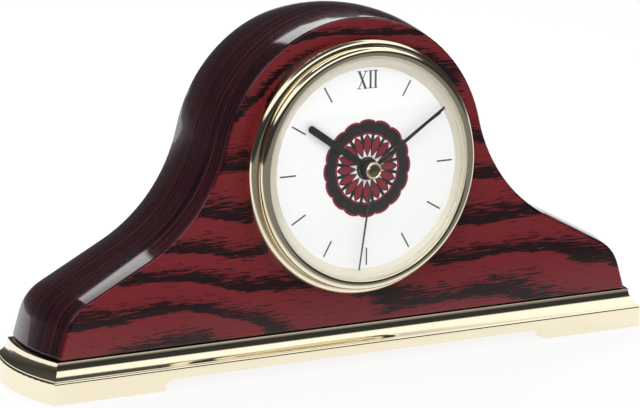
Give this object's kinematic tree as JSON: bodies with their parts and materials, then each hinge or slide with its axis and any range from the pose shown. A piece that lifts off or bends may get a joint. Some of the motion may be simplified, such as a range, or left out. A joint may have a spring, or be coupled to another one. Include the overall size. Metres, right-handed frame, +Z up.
{
  "type": "tambour mantel clock",
  "caption": "Tambour mantel clock with a humped lacquered wooden case, a brass plinth and a round brass-bezelled quartz insert whose hands and wheels turn.",
  "frame": {"origin": "middle of the clock's footprint, on the surface that it stands on", "axes": "+Z up, +X to the right seen from the front, the dial looks along -Y"},
  "size_m": [0.2424, 0.0573, 0.1242],
  "materials": {
    "garnet_lacquered_wood": "gloss",
    "polished_brass": "gloss",
    "clear_lens": "gloss",
    "satin_gold": "satin",
    "printed_dial": "satin",
    "black_lacquer": "gloss",
    "black_plastic": "matte",
    "grip_rubber": "matte",
    "felt": "matte",
    "zinc_steel": "satin",
    "gear_plastic": "satin",
    "magnet_black": "satin",
    "copper_wire": "gloss",
    "board_laminate": "satin",
    "cell_sleeve": "gloss"
  },
  "bodies": {
    "case": {"case_body": "garnet_lacquered_wood", "base_plinth": "polished_brass", "base_screws": "zinc_steel", "base_felt_pads": "felt", "bezel_ring": "polished_brass", "lens": "clear_lens", "reflector_ring": "satin_gold", "dial_plate": "printed_dial", "insert_can": "black_plastic", "grip_band": "grip_rubber", "movement_front_housing": "black_plastic", "movement_rear_housing": "black_plastic", "gear_bridge": "gear_plastic", "bridge_screws": "zinc_steel", "battery_cell": "cell_sleeve", "battery_contact_positive": "zinc_steel", "battery_contact_negative": "zinc_steel", "circuit_board": "board_laminate", "quartz_crystal": "zinc_steel", "coil_bobbin": "gear_plastic", "coil_winding": "copper_wire", "coil_core": "zinc_steel", "stator_plate": "zinc_steel"},
    "minute": {"minute_hand": "black_lacquer", "minute_arbor": "polished_brass", "clutch_spring": "zinc_steel"},
    "hour": {"hour_hand": "black_lacquer", "hour_wheel": "gear_plastic"},
    "motion_wheel": {"minute_wheel": "gear_plastic"},
    "setting": {"setting_pinion": "gear_plastic", "setting_knob": "gear_plastic"},
    "second": {"second_hand": "black_lacquer", "second_hand_cap": "polished_brass", "second_wheel": "gear_plastic"},
    "intermediate": {"intermediate_wheel": "gear_plastic"},
    "rotor": {"rotor_pinion": "gear_plastic", "rotor_magnet": "magnet_black"},
    "third": {"third_wheel": "gear_plastic"},
    "centre": {"centre_wheel": "gear_plastic"}
  },
  "joints": [
    {"name": "minute_turn", "type": "hinge", "parent": "case", "child": "minute", "pos_m": [0, 0, 0.0704], "axis": [0, 1, 0], "continuous": true},
    {"name": "hour_turn", "type": "hinge", "parent": "case", "child": "hour", "pos_m": [0, 0, 0.0704], "axis": [0, 1, 0], "continuous": true},
    {"name": "motion_wheel_turn", "type": "hinge", "parent": "case", "child": "motion_wheel", "pos_m": [0.0096, 0, 0.0704], "axis": [0, 1, 0], "continuous": true},
    {"name": "setting_turn", "type": "hinge", "parent": "case", "child": "setting", "pos_m": [0.0192, 0, 0.0704], "axis": [0, 1, 0], "continuous": true},
    {"name": "second_turn", "type": "hinge", "parent": "case", "child": "second", "pos_m": [0, 0, 0.0704], "axis": [0, 1, 0], "continuous": true},
    {"name": "intermediate_turn", "type": "hinge", "parent": "case", "child": "intermediate", "pos_m": [0.0054, 0, 0.07683], "axis": [0, 1, 0], "continuous": true},
    {"name": "rotor_turn", "type": "hinge", "parent": "case", "child": "rotor", "pos_m": [0.01217, 0, 0.0793], "axis": [0, 1, 0], "continuous": true},
    {"name": "third_turn", "type": "hinge", "parent": "case", "child": "third", "pos_m": [-0.00619, 0, 0.07925], "axis": [0, 1, 0], "continuous": true},
    {"name": "centre_turn", "type": "hinge", "parent": "case", "child": "centre", "pos_m": [0, 0, 0.0704], "axis": [0, 1, 0], "continuous": true}
  ],
  "couplings": [
    {"joint": "hour_turn", "follows": "minute_turn", "ratio": 0.083333},
    {"joint": "motion_wheel_turn", "follows": "minute_turn", "ratio": -0.33333},
    {"joint": "setting_turn", "follows": "minute_turn", "ratio": 1},
    {"joint": "intermediate_turn", "follows": "second_turn", "ratio": -6},
    {"joint": "rotor_turn", "follows": "second_turn", "ratio": 30},
    {"joint": "third_turn", "follows": "second_turn", "ratio": -0.13333},
    {"joint": "centre_turn", "follows": "second_turn", "ratio": 0.016667}
  ]
}
